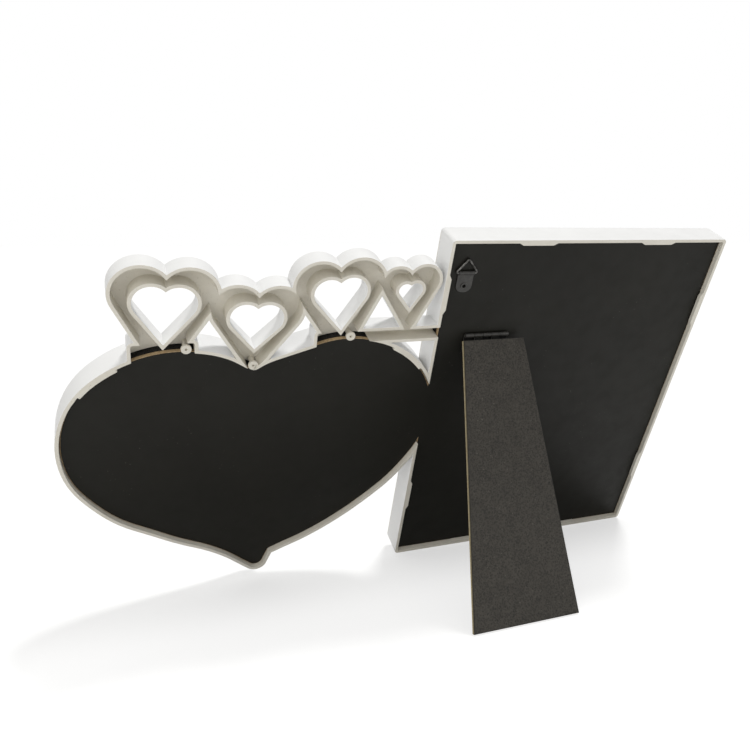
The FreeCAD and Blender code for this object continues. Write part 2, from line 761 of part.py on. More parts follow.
def leg_core_body():
    """The stiff leg, with holes for the rivets and recesses for their tails."""
    body = new_body("easel_leg_core")
    pad(body, outline_sketch(body, "XZ_Plane", "leg_outline", [leg_outline("0")]), "leg_pad",
        "sizes.leg_thickness", reverse=True)
    middle = "(sizes.leg_across - sizes.hinge_across)"
    pocket(body, circle_sketch(body, "XZ_Plane", "leg_rivet_holes", rivet_circles(middle, RIVET_HOLE)),
           "leg_rivet_pocket", "sizes.leg_thickness + sizes.overrun")
    recess = circle_sketch(body, "XZ_Plane", "leg_tail_recess", rivet_circles(middle, HEAD_HOLE))
    recess.setExpression("AttachmentOffset.Base.z", "-sizes.leg_thickness")
    pocket(body, recess, "leg_tail_pocket", "sizes.rivet_tail", reverse=True)
    return body


def leg_cover_body():
    """The textured covering on the leg's outer face."""
    body = new_body("easel_leg_cover")
    outline = outline_sketch(body, "XZ_Plane", "cover_outline", [leg_outline("sizes.leg_cover_inset")])
    pad(body, outline, "cover_pad", "sizes.leg_cover", reverse=True)
    return body


def hinge_leaf_body(name, low, own_first, head_side_out):
    """A hinge leaf: a plate, its knuckles about the axis, and the slots for the other's knuckles.

    low is the plate's lower face, counted out from the hinge axis. Knuckles alternate along the
    axis, and own_first says whether the first is this leaf's. The rivet heads lie flush in the
    plate's outer face if head_side_out is true, and else in its lower face.
    """
    body = new_body(name)
    high = low + " + sizes.leaf_thickness"
    section = [(low, "-" + LEAF_END), (high, "-" + LEAF_END), (high, "0"), (low, "0")]
    pad(body, outline_sketch(body, "YZ_Plane", name + "_section", [section]), name + "_plate",
        "sizes.hinge_width", midplane=True)
    barrel = circle_sketch(body, "YZ_Plane", name + "_barrel", [("0", "0", "sizes.knuckle_radius")])
    pad(body, barrel, name + "_knuckles", "sizes.hinge_width", midplane=True)
    slots = []
    side_gap = "sizes.knuckle_side_gap / 2"
    for knuckle in range(1 if own_first else 0, KNUCKLES, 2):
        left = "sizes.hinge_width * (%d / %d - 0.5) - %s" % (knuckle, KNUCKLES, side_gap)
        right = "sizes.hinge_width * (%d / %d - 0.5) + %s" % (knuckle + 1, KNUCKLES, side_gap)
        if knuckle == 0:
            left += " - sizes.overrun"
        if knuckle == KNUCKLES - 1:
            right += " + sizes.overrun"
        top = "sizes.knuckle_radius + sizes.overrun"
        slots.append([(left, "-" + TOP_GAP), (right, "-" + TOP_GAP), (right, top), (left, top)])
    pocket(body, outline_sketch(body, "XZ_Plane", name + "_slots", slots), name + "_slot_pocket",
           "4 * sizes.knuckle_radius", midplane=True)
    bore_radius = "sizes.pin_radius + sizes.pin_clearance"
    bore = circle_sketch(body, "YZ_Plane", name + "_bore", [("0", "0", bore_radius)])
    pocket(body, bore, name + "_bore_pocket", "sizes.hinge_width + sizes.overrun", midplane=True)
    holes = circle_sketch(body, "XZ_Plane", name + "_rivet_holes", rivet_circles("0", RIVET_HOLE))
    pocket(body, holes, name + "_rivet_pocket", "4 * sizes.knuckle_radius", midplane=True)
    heads = circle_sketch(body, "XZ_Plane", name + "_rivet_heads", rivet_circles("0", HEAD_HOLE))
    heads.setExpression("AttachmentOffset.Base.z", "-(%s)" % (high if head_side_out else low))
    pocket(body, heads, name + "_head_pocket", "sizes.rivet_head", reverse=head_side_out)
    return body


def rivet_body(name, through):
    """Two rivets: a flat head, a shank through what they hold, and a spread tail."""
    head = "sizes.rivet_head_radius"
    shank = "sizes.rivet_radius"
    under_head = "-sizes.rivet_head"
    reach = "-(sizes.leaf_thickness + %s)" % through
    tail = reach + " - sizes.rivet_tail"
    profile = [("0", "0"), (head, "0"), (head, under_head), (shank, under_head),
               (shank, reach), (head, reach), (head, tail), ("0", tail)]
    body, sketch, turn = turned_body(name, profile)
    repeated_across(body, sketch, turn, name + "_pair", "sizes.rivet_spacing")
    return body


def hinge_pin():
    """The plain pin through the knuckles."""
    pin = doc.addObject("Part::Cylinder", "hinge_pin")
    pin.Label = "hinge_pin"
    pin.setExpression("Radius", "sizes.pin_radius")
    pin.setExpression("Height", "sizes.hinge_width")
    return pin


def strap_body():
    """The hanger's strap: two layers, folded round the ring's wire at the top."""
    body = new_body("hanger_strap")
    half = "sizes.strap_width / 2"
    low = "-sizes.strap_length"
    outline = [("-" + half, low), (half, low), (half, "0"), ("-" + half, "0")]
    layers = pad(body, outline_sketch(body, "XZ_Plane", "strap_outline", [outline]), "strap_pad",
                 "2 * sizes.strap_layer", reverse=True)
    corners = []
    for index, edge in enumerate(layers.Shape.Edges, start=1):
        box = edge.BoundBox
        if box.YLength > size("strap_layer") and box.ZMax < -size("strap_length") / 2.0:
            corners.append("Edge%d" % index)
    fillet = body.newObject("PartDesign::Fillet", "strap_corners")
    fillet.Base = (layers, corners)
    fillet.setExpression("Radius", "sizes.strap_corner")
    doc.recompute()
    bore_radius = "sizes.ring_wire + sizes.pin_clearance"
    out = bore_radius + " + sizes.strap_layer"
    pad(body, circle_sketch(body, "YZ_Plane", "strap_fold", [(out, "0", out)]), "strap_fold_pad",
        "sizes.strap_width", midplane=True)
    bore = circle_sketch(body, "YZ_Plane", "strap_bore", [(out, "0", bore_radius)])
    pocket(body, bore, "strap_bore_pocket", "sizes.strap_width + sizes.overrun", midplane=True)
    hole = [("0", "-sizes.eyelet_drop", "sizes.eyelet_radius + sizes.rivet_clearance")]
    pocket(body, circle_sketch(body, "XZ_Plane", "strap_hole", hole), "strap_hole_pocket",
           "4 * sizes.strap_layer", midplane=True)
    return body


def eyelet_body():
    """The hollow rivet that holds the strap to the board."""
    hole = "sizes.eyelet_hole"
    barrel = "sizes.eyelet_radius"
    flange = "sizes.eyelet_flange"
    top = "sizes.eyelet_flange_height"
    through = "-(2 * sizes.strap_layer + %s)" % BOARD_BUILD
    tail = through + " - sizes.eyelet_tail"
    profile = [(hole, top), (flange, top), (flange, "0"), (barrel, "0"),
               (barrel, through), (flange, through), (flange, tail), (hole, tail)]
    return turned_body("hanger_eyelet", profile)[0]


# Where each group of pieces stands in the upright frame.
UPRIGHT = Placement()
HINGE = Placement(Vector(-size("hinge_across"), HINGE_REAR, size("hinge_up")), Rotation())
OPEN = Placement(Vector(), Rotation(Vector(1.0, 0.0, 0.0), size("leg_open_angle")))
LEG_HINGE = HINGE.multiply(OPEN)
LEG_MIDDLE = Vector(size("hinge_across") - size("leg_across"), LEG_INNER, 0.0)
OUT_FROM_REAR = Rotation(Vector(1.0, 0.0, 0.0), -90.0)
OUT_FROM_FRONT = Rotation(Vector(1.0, 0.0, 0.0), 90.0)
ALONG_ACROSS = Rotation(Vector(0.0, 1.0, 0.0), 90.0)
FIRST_RIVET = -size("rivet_spacing") / 2.0
LAYER_EDGE = WALL + size("insert_clearance")


def layer_place(front):
    """The low corner of a layer in the rectangle's cavity."""
    return Placement(Vector(LAYER_EDGE - size("frame_width"), front, LAYER_EDGE), Rotation())


def hinge_place(group, along, out, down, turn):
    """A place on a hinge leaf, counted from the hinge axis."""
    return group.multiply(Placement(Vector(along, out, -down), turn))


PAD_THICKNESS = ("sizes.frame_depth - sizes.front_plate - sizes.sheet_thickness - sizes.insert_thickness"
                 " - sizes.board_recess - %s - sizes.pad_gap" % BOARD_BUILD)
COVER_PLACE = Placement(LEG_MIDDLE + Vector(0.0, size("leg_thickness"), 0.0), Rotation())
STRAP_TOP = Vector(-size("hanger_across"), BOARD_REAR, HANGER_UP)
STRAP_REAR = size("strap_layer") + size("strap_layer")
EYELET = STRAP_TOP + Vector(0.0, STRAP_REAR, -size("eyelet_drop"))
RING = Vector(-size("hanger_across"), RING_REAR, HANGER_UP)
BOARD_LEAF_TOP = BOARD_LEAF_LOW + size("leaf_thickness")
LEG_LEAF = "sizes.leaf_thickness + sizes.fold_clearance - " + AXIS_OUT

sub_parts = [
    (own_shape("frame_shell", frame_shell_shape()), UPRIGHT),
    (own_shape("back_board", board_shape()), UPRIGHT),
    (own_shape("back_board_facing", facing_shape()), UPRIGHT),
    (own_shape("heart_window_sheet", heart_layer_shape(PLATE_REAR, SHEET_REAR)), UPRIGHT),
    (own_shape("heart_photo_insert", heart_layer_shape(SHEET_REAR, INSERT_REAR)), UPRIGHT),
    (own_shape("heart_foam_pad", heart_layer_shape(INSERT_REAR, PAD_REAR)), UPRIGHT),
    (rectangle_layer("rectangle_window_sheet", "sizes.sheet_thickness"), layer_place(PLATE_REAR)),
    (rectangle_layer("rectangle_photo_insert", "sizes.insert_thickness"), layer_place(SHEET_REAR)),
    (rectangle_layer("rectangle_foam_pad", PAD_THICKNESS), layer_place(INSERT_REAR)),
    (leg_core_body(), LEG_HINGE.multiply(Placement(LEG_MIDDLE, Rotation()))),
    (leg_cover_body(), LEG_HINGE.multiply(COVER_PLACE)),
    (hinge_leaf_body("board_hinge_leaf", "-" + AXIS_OUT, True, True), HINGE),
    (hinge_leaf_body("leg_hinge_leaf", LEG_LEAF, False, False), LEG_HINGE),
    (hinge_pin(), hinge_place(HINGE, -size("hinge_width") / 2.0, 0.0, 0.0, ALONG_ACROSS)),
    (rivet_body("board_hinge_rivets", BOARD_BUILD),
     hinge_place(HINGE, FIRST_RIVET, BOARD_LEAF_TOP, RIVET_DROP, OUT_FROM_REAR)),
    (rivet_body("leg_hinge_rivets", "sizes.leg_thickness - sizes.rivet_tail"),
     hinge_place(LEG_HINGE, FIRST_RIVET, LEG_LEAF_LOW, RIVET_DROP, OUT_FROM_FRONT)),
    (strap_body(), Placement(STRAP_TOP, Rotation())),
    (own_shape("hanger_ring", ring_shape()), Placement(RING, Rotation())),
    (eyelet_body(), Placement(EYELET, OUT_FROM_REAR)),
]
doc.recompute()

# Lean the frame back, and set its lowest point on the floor under the middle of its outline.
leaned = Placement(Vector(), Rotation(Vector(1.0, 0.0, 0.0), -size("lean_angle")))
for sub_part, place in sub_parts:
    sub_part.Placement = leaned.multiply(place)
doc.recompute()
whole = Part.Compound([sub_part.Shape for sub_part, _ in sub_parts]).optimalBoundingBox(False, False)
origin = Vector((whole.XMin + whole.XMax) / 2.0, (whole.YMin + whole.YMax) / 2.0, whole.ZMin)
seated = Placement(Vector() - origin, Rotation()).multiply(leaned)
for sub_part, place in sub_parts:
    sub_part.Placement = seated.multiply(place)
doc.recompute()

for thing in doc.Objects:
    if "Invalid" in thing.State or "Error" in thing.State:
        raise RuntimeError("%s did not build: %s" % (thing.Label, thing.State))
for sub_part, _ in sub_parts:
    if sub_part.Shape.isNull() or not sub_part.Shape.isValid():
        raise RuntimeError(sub_part.Label + " has no valid shape")

os.makedirs("parts", exist_ok=True)
for sub_part, _ in sub_parts:
    sub_part.Shape.exportStep("parts/%s.step" % sub_part.Label)
print("%d pieces, %.1f x %.1f x %.1f mm" % (len(sub_parts), whole.XLength, whole.YLength, whole.ZLength))
for name, point in (("leg hinge axis", HINGE.Base), ("hanger ring axis", RING)):
    print("%s at %.4f, %.4f, %.4f" % ((name,) + tuple(seated.multVec(point))))
print("foot reach %.2f mm" % LEG_REACH)
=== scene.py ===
"""The heart shaped photo frame, dressed for its picture. Metres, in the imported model's frame."""
import json
import math

import bmesh
import bpy
from mathutils import Matrix, Vector, noise
from mathutils.bvhtree import BVHTree

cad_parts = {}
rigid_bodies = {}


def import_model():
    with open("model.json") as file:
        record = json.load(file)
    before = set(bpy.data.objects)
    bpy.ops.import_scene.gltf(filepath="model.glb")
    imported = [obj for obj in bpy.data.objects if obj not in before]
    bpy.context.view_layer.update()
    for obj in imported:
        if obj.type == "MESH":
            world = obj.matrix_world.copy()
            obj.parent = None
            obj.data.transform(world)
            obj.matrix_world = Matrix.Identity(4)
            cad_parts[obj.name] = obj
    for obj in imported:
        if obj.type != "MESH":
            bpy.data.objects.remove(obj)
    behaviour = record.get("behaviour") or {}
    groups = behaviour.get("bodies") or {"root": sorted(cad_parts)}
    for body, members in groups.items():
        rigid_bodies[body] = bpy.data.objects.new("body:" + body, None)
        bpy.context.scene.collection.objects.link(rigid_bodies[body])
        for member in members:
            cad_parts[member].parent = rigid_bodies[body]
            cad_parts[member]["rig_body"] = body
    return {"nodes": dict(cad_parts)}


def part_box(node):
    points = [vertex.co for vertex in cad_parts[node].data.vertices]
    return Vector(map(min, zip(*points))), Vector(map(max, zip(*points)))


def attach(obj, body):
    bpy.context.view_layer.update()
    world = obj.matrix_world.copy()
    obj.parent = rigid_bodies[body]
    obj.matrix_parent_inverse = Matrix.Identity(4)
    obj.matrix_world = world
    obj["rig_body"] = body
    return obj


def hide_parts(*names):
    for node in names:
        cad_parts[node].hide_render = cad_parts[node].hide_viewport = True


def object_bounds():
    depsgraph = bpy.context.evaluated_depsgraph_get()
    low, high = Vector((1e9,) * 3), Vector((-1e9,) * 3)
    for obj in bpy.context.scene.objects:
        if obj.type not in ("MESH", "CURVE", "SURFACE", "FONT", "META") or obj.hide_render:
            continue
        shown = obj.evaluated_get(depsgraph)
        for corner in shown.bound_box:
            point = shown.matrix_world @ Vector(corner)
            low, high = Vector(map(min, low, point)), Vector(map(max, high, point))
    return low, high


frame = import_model()
cad_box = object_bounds()

MM = 0.001
LEAN = math.radians(24.0)
REARWARD = Matrix.Rotation(-LEAN, 3, "X") @ Vector((0.0, 1.0, 0.0))
FRONTWARD = -REARWARD


# Camera, at the photograph's angle
CAMERA_PLACE = Vector((0.15183, 0.39382, 0.20453))
CAMERA_RIGHT = Vector((-0.926637, 0.375958, 0.0))
CAMERA_FORWARD = Vector((-0.369457, -0.910640, -0.185031))
CAMERA_LENS = 36.93
CAMERA_SENSOR = 36.0
CAMERA_SHIFT = (-0.0639, 0.0042)
CAMERA_NEAR = 10.0 * MM

forward = CAMERA_FORWARD.normalized()
right = (CAMERA_RIGHT - forward * CAMERA_RIGHT.dot(forward)).normalized()
up = right.cross(forward)
camera_data = bpy.data.cameras.new("camera")
camera_data.lens = CAMERA_LENS
camera_data.sensor_width = CAMERA_SENSOR
camera_data.shift_x, camera_data.shift_y = CAMERA_SHIFT
camera_data.clip_start = CAMERA_NEAR
camera = bpy.data.objects.new("camera", camera_data)
camera_turn = Matrix((right, up, -forward)).transposed().to_4x4()
camera.matrix_world = Matrix.Translation(CAMERA_PLACE) @ camera_turn
bpy.context.scene.collection.objects.link(camera)
bpy.context.scene.camera = camera


# Materials
class Paint:
    """A node material in the making: every call adds one node and returns an output of it."""

    def __init__(self, name):
        self.material = bpy.data.materials.new(name)
        self.material.use_nodes = True
        self.tree = self.material.node_tree
        self.shader = self.tree.nodes["Principled BSDF"]
        place = self.tree.nodes.new("ShaderNodeTexCoord")
        self.place = place.outputs["Object"]

    def join(self, output, socket):
        self.tree.links.new(output, socket)

    def noise(self, scale, detail=2.0, roughness=0.5, place=None):
        node = self.tree.nodes.new("ShaderNodeTexNoise")
        node.inputs["Scale"].default_value = scale
        node.inputs["Detail"].default_value = detail
        node.inputs["Roughness"].default_value = roughness
        self.join(place or self.place, node.inputs["Vector"])
        return node.outputs["Fac"]

    def stretched(self, factors, turn=(0.0, 0.0, 0.0)):
        node = self.tree.nodes.new("ShaderNodeMapping")
        node.inputs["Scale"].default_value = factors
        node.inputs["Rotation"].default_value = turn
        self.join(self.place, node.inputs["Vector"])
        return node.outputs["Vector"]

    def cells(self, scale, feature="F1", place=None):
        node = self.tree.nodes.new("ShaderNodeTexVoronoi")
        node.feature = feature
        node.inputs["Scale"].default_value = scale
        self.join(place or self.place, node.inputs["Vector"])
        return node.outputs["Distance"]

    def ramp(self, value, stops):
        """stops are pairs of a position and a colour or a grey."""
        node = self.tree.nodes.new("ShaderNodeValToRGB")
        steps = node.color_ramp.elements
        while len(steps) < len(stops):
            steps.new(0.5)
        for step, (position, colour) in zip(steps, stops):
            step.position = position
            if isinstance(colour, float):
                colour = (colour, colour, colour)
            step.color = (*colour, 1.0)
        self.join(value, node.inputs["Fac"])
        return node.outputs["Color"]

    def mix(self, factor, first, second):
        node = self.tree.nodes.new("ShaderNodeMix")
        node.data_type = "RGBA"
        sockets = (node.inputs[0], node.inputs[6], node.inputs[7])
        for value, socket in zip((factor, first, second), sockets):
            if isinstance(value, tuple):
                socket.default_value = (*value, 1.0)
            elif isinstance(value, float):
                socket.default_value = value
            else:
                self.join(value, socket)
        return node.outputs[2]

    def sum(self, first, second, weight=1.0):
        """first plus weight times second, as a plain number."""
        node = self.tree.nodes.new("ShaderNodeMath")
        node.operation = "MULTIPLY_ADD"
        self.join(second, node.inputs[0])
        node.inputs[1].default_value = weight
        self.join(first, node.inputs[2])
        return node.outputs[0]

    def bump(self, height, depth, strength=1.0):
        """Relief from height, depth metres deep."""
        node = self.tree.nodes.new("ShaderNodeBump")
        node.inputs["Strength"].default_value = strength
        node.inputs["Distance"].default_value = depth
        self.join(height, node.inputs["Height"])
        self.join(node.outputs["Normal"], self.shader.inputs["Normal"])

    def colour(self, output):
        self.join(output, self.shader.inputs["Base Color"])

    def rough(self, output):
        self.join(output, self.shader.inputs["Roughness"])

    def set(self, **values):
        for name, value in values.items():
            self.shader.inputs[name.replace("_", " ")].default_value = value


def painted_white():
    paint = Paint("painted_white")
    cloud = paint.noise(35.0, 3.0)
    paint.colour(paint.ramp(cloud, [(0.3, (0.81, 0.81, 0.80)), (0.7, (0.84, 0.84, 0.832))]))
    paint.rough(paint.ramp(paint.noise(160.0, 3.0), [(0.3, 0.36), (0.7, 0.50)]))
    paint.bump(paint.noise(900.0, 2.0), 0.06 * MM, 0.6)
    paint.set(Specular_IOR_Level=0.45)
    return paint.material


def cream_with_painted_shade():
    paint = Paint("cream_with_painted_shade")
    cloud = paint.noise(60.0, 4.0, 0.6)
    # Cream darker and warmer than the white: partly the bare moulding's tone, partly painted shade for
    # the rear and recessed faces
    shade = paint.ramp(cloud, [(0.28, (0.68, 0.645, 0.56)), (0.72, (0.75, 0.72, 0.64))])
    specks = paint.ramp(paint.noise(1500.0, 1.0), [(0.70, 0.0), (0.76, 1.0)])
    paint.colour(paint.mix(specks, shade, (0.56, 0.51, 0.42)))
    paint.rough(paint.ramp(paint.noise(300.0, 3.0), [(0.3, 0.42), (0.7, 0.58)]))
    paint.bump(paint.noise(700.0, 3.0), 0.08 * MM, 0.7)
    return paint.material


def board_black():
    paint = Paint("board_black")
    cloud = paint.noise(22.0, 4.0, 0.55)
    shade = paint.ramp(cloud, [(0.25, (0.0062, 0.0058, 0.0036)), (0.75, (0.0097, 0.0091, 0.0060))])
    dust = paint.ramp(paint.cells(330.0), [(0.05, 1.0), (0.13, 0.0)])
    patches = paint.ramp(paint.noise(38.0, 2.0), [(0.52, 0.0), (0.66, 1.0)])
    paint.colour(paint.mix(paint.mix(patches, (0.0, 0.0, 0.0), dust), shade, (0.048, 0.045, 0.037)))
    paint.rough(paint.ramp(paint.noise(120.0, 3.0), [(0.3, 0.42), (0.7, 0.55)]))
    height = paint.sum(paint.noise(1100.0, 2.0), paint.noise(240.0, 2.0), 0.6)
    paint.bump(height, 0.05 * MM, 0.6)
    paint.set(Specular_IOR_Level=0.27)
    return paint.material


def hardboard():
    paint = Paint("hardboard")
    fibre = paint.noise(900.0, 4.0, 0.6, paint.stretched((1.0, 2.5, 1.0), (LEAN, 0.0, 0.0)))
    paint.colour(paint.ramp(fibre, [
        (0.3, (0.30, 0.20, 0.105)),
        (0.55, (0.50, 0.37, 0.22)),
        (0.75, (0.62, 0.49, 0.31)),
    ]))
    paint.bump(fibre, 0.15 * MM, 0.9)
    paint.set(Roughness=0.9, Specular_IOR_Level=0.2)
    return paint.material


def clear_sheet():
    paint = Paint("clear_sheet")
    paint.rough(paint.ramp(paint.noise(90.0, 2.0), [(0.4, 0.02), (0.8, 0.06)]))
    paint.set(Base_Color=(0.72, 0.75, 0.75, 1.0), Alpha=0.12, IOR=1.49, Specular_IOR_Level=1.0,
              Coat_Weight=1.0, Coat_Roughness=0.03)
    return paint.material


def insert_paper():
    paint = Paint("insert_paper")
    cloud = paint.noise(14.0, 3.0)
    paint.colour(paint.ramp(cloud, [(0.3, (0.74, 0.735, 0.715)), (0.7, (0.78, 0.775, 0.755))]))
    paint.bump(paint.noise(2600.0, 3.0), 0.03 * MM, 0.6)
    paint.set(Roughness=0.7)
    return paint.material


def foam():
    paint = Paint("foam")
    pores = paint.cells(1300.0)
    paint.colour(paint.ramp(pores, [(0.15, (0.010, 0.010, 0.010)), (0.6, (0.032, 0.031, 0.030))]))
    paint.bump(pores, 0.3 * MM)
    paint.set(Roughness=0.95, Specular_IOR_Level=0.15)
    return paint.material


# How far the leg's paper is turned over its edge, and how unevenly
LEG_TURNED = (1.25 * MM, 1.45 * MM)
LEG_RAGGED = 0.8 * MM


def leg_board(outward, outer_at):
    """Cut board, dark where the paper is turned over its outer edge at outer_at along outward."""
    paint = Paint("leg_board")
    fibre = paint.noise(1200.0, 4.0, 0.65)
    shade = paint.ramp(fibre, [
        (0.30, (0.60, 0.44, 0.21)),
        (0.46, (0.92, 0.76, 0.44)),
        (0.66, (0.97, 0.86, 0.58)),
    ])
    along = paint.tree.nodes.new("ShaderNodeVectorMath")
    along.operation = "DOT_PRODUCT"
    paint.join(paint.place, along.inputs[0])
    along.inputs[1].default_value = outward
    below = paint.tree.nodes.new("ShaderNodeMath")
    below.operation = "SUBTRACT"
    below.inputs[0].default_value = outer_at
    paint.join(along.outputs["Value"], below.inputs[1])
    ragged = paint.sum(below.outputs[0], paint.noise(420.0, 3.0, 0.6), LEG_RAGGED)
    turned = paint.ramp(ragged, [(LEG_TURNED[0], 0.0), (LEG_TURNED[1], 1.0)])
    paint.colour(paint.mix(turned, (0.024, 0.022, 0.020), shade))
    paint.bump(fibre, 0.2 * MM)
    paint.set(Roughness=0.92, Specular_IOR_Level=0.2)
    return paint.material


def leg_back():
    paint = Paint("leg_back")
    cloud = paint.noise(300.0, 4.0, 0.6)
    paint.colour(paint.ramp(cloud, [(0.3, (0.016, 0.015, 0.014)), (0.7, (0.028, 0.027, 0.025))]))
    paint.bump(paint.noise(1500.0, 3.0), 0.08 * MM, 0.8)
    paint.set(Roughness=0.75)
    return paint.material


def leg_paper():
    paint = Paint("leg_paper")
    grain = paint.cells(1150.0, "SMOOTH_F1")
    soft = paint.noise(420.0, 3.0, 0.6)
    height = paint.sum(grain, soft, 0.7)
    shade = paint.ramp(height, [(0.38, (0.0160, 0.0145, 0.0118)), (0.92, (0.0580, 0.0525, 0.0435))])
    patches = paint.ramp(paint.noise(120.0, 2.0), [(0.35, 0.0), (0.65, 0.22)])
    mottled = paint.mix(patches, shade, (0.0170, 0.0155, 0.0125))
    wear = paint.ramp(paint.noise(950.0, 2.0), [(0.66, 0.0), (0.75, 1.0)])
    paint.colour(paint.mix(wear, mottled, (0.105, 0.097, 0.082)))
    paint.rough(paint.ramp(soft, [(0.3, 0.55), (0.7, 0.72)]))
    paint.bump(height, 0.25 * MM)
    paint.set(Specular_IOR_Level=0.4)
    return paint.material


def black_metal():
    paint = Paint("black_metal")
    cloud = paint.noise(500.0, 3.0, 0.6)
    paint.colour(paint.ramp(cloud, [(0.35, (0.026, 0.025, 0.0228)), (0.75, (0.050, 0.048, 0.0432))]))
    paint.rough(paint.ramp(paint.noise(900.0, 2.0), [(0.3, 0.28), (0.7, 0.42)]))
    paint.bump(paint.noise(700.0, 2.0), 0.04 * MM, 0.6)
    paint.set(Specular_IOR_Level=0.6)
    return paint.material


# A far darker copy of black_metal for the hinge leaves' flat faces: painted shade below the lit barrel
def painted_shade_metal():
    paint = Paint("painted_shade_metal")
    cloud = paint.noise(500.0, 3.0, 0.6)
    paint.colour(paint.ramp(cloud, [(0.35, (0.005, 0.005, 0.0045)), (0.75, (0.010, 0.0095, 0.0085))]))
    paint.bump(paint.noise(700.0, 2.0), 0.04 * MM, 0.6)
    paint.set(Roughness=0.65, Specular_IOR_Level=0.15)
    return paint.material


def worn_wire():
    paint = Paint("worn_wire")
    cloud = paint.noise(650.0, 3.0, 0.6)
    paint.colour(paint.ramp(cloud, [(0.35, (0.060, 0.058, 0.054)), (0.65, (0.22, 0.215, 0.205))]))
    paint.rough(paint.ramp(cloud, [(0.3, 0.24), (0.7, 0.36)]))
    paint.set(Metallic=0.9)
    return paint.material


WHITE = painted_white()
CREAM_PAINTED_SHADE = cream_with_painted_shade()
BOARD_BLACK = board_black()
HARDBOARD = hardboard()
CLEAR = clear_sheet()
INSERT = insert_paper()
FOAM = foam()
LEG_BACK = leg_back()
LEG_PAPER = leg_paper()
METAL = black_metal()
PAINTED_SHADE_METAL = painted_shade_metal()
WIRE = worn_wire()


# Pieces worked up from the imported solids
WELD = 0.002 * MM
FLAT_ANGLE = math.radians(0.4)
EDGE_ANGLE = math.radians(40.0)
SQUARE_LIMIT = 0.01
SMOOTH_ANGLE = math.radians(32.0)
ROUND_STEPS = 2
ROUND_PROFILE = 0.5
FACING = 0.5


def welded(node):
    """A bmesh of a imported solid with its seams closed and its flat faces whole."""
    bm = bmesh.new()
    bm.from_mesh(frame["nodes"][node].data)
    bmesh.ops.remove_doubles(bm, verts=bm.verts, dist=WELD)
    bmesh.ops.dissolve_limit(bm, angle_limit=FLAT_ANGLE, verts=bm.verts, edges=bm.edges)
    bm.normal_update()
    return bm


def square_to_rim(face):
    """True for a face that lies along the rim plane or stands square on it."""
    rearward = abs(face.normal.dot(REARWARD))
    return rearward < SQUARE_LIMIT or rearward > 1.0 - SQUARE_LIMIT


def round_edges(bm, radius, only=None):
    """Rounds the sharp edges, or those of them whose two faces both pass only."""
    sharp = []
    for edge in bm.edges:
        if len(edge.link_faces) == 2 and edge.calc_face_angle(0.0) > EDGE_ANGLE:
            if only is None or all(only(face) for face in edge.link_faces):
                sharp.append(edge)
    bmesh.ops.bevel(bm, geom=sharp, offset=radius, segments=ROUND_STEPS, profile=ROUND_PROFILE,
                    affect="EDGES", clamp_overlap=False, material=-1)


def piece(bm, name, materials, node, flat=False):
    """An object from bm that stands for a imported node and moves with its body."""
    mesh = bpy.data.meshes.new(name)
    bm.to_mesh(mesh)
    bm.free()
    for material in materials:
        mesh.materials.append(material)
    obj = bpy.data.objects.new(name, mesh)
    bpy.context.scene.collection.objects.link(obj)
    if flat:
        mesh.shade_flat()
    else:
        mesh.shade_smooth()
        mesh.set_sharp_from_angle(angle=SMOOTH_ANGLE)
        even = obj.modifiers.new("even_normals", "WEIGHTED_NORMAL")
        even.keep_sharp = True
    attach(obj, frame["nodes"][node]["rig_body"])
    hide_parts(node)
    return obj


# The moulded shell: white on its outer faces, cream on the rear-facing faces and inside the pockets,
# the bare moulding's tone darkened as painted shade
SHELL_ROUND = 0.3 * MM
PROBE = 0.3 * MM
SHELL_DEEP = 18.5 * MM

shell = welded("frame_shell")
inside = BVHTree.FromBMesh(shell)
# Rear-facing faces and the walls inside the pockets take the cream: painted shade on the rear and in
# the recesses
for face in shell.faces:
    rearward = face.normal.dot(REARWARD)
    if rearward > FACING:
        face.material_index = 1
    elif rearward > -FACING:
        start = face.calc_center_median() + face.normal * PROBE
        hit = inside.ray_cast(start, FRONTWARD, SHELL_DEEP)
        face.material_index = 1 if hit[0] else 0
    else:
        face.material_index = 0
round_edges(shell, SHELL_ROUND, square_to_rim)
piece(shell, "shell_moulding", [WHITE, CREAM_PAINTED_SHADE], "frame_shell")

# Board, its facing, the flat pieces behind the windows and the metal
FLAT_SLOTS = ("clear_sheet", "insert_paper")
SHEET_GAP = 0.03 * MM
BOARD_ROUND = 0.12 * MM
FACING_ROUND = 0.05 * MM
SHEET_ROUND = 0.1 * MM
INSERT_ROUND = 0.04 * MM
METAL_ROUND = 0.1 * MM
PIN_ROUND = 0.12 * MM
BARREL_RADIUS = 1.35 * MM


def lift_off(bm, gap):
    """Moves the rear face frontward, so that it does not lie in one plane with the paper behind it."""
    rear = max(v.co.dot(REARWARD) for v in bm.verts)
    for vert in bm.verts:
        if rear - vert.co.dot(REARWARD) < gap:
            vert.co += FRONTWARD * gap


pin_low, pin_high = [Vector(corner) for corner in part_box("hinge_pin")]
PIN_AXIS = (pin_low + pin_high) / 2.0


def paint_leaf_shade(bm):
    """Gives the faces of a hinge leaf that are not on its knuckles the second material, a darker copy
    of the metal: painted shade.
    """
    for face in bm.faces:
        reach = face.calc_center_median() - PIN_AXIS
        face.material_index = 1 if math.hypot(reach.y, reach.z) > BARREL_RADIUS else 0


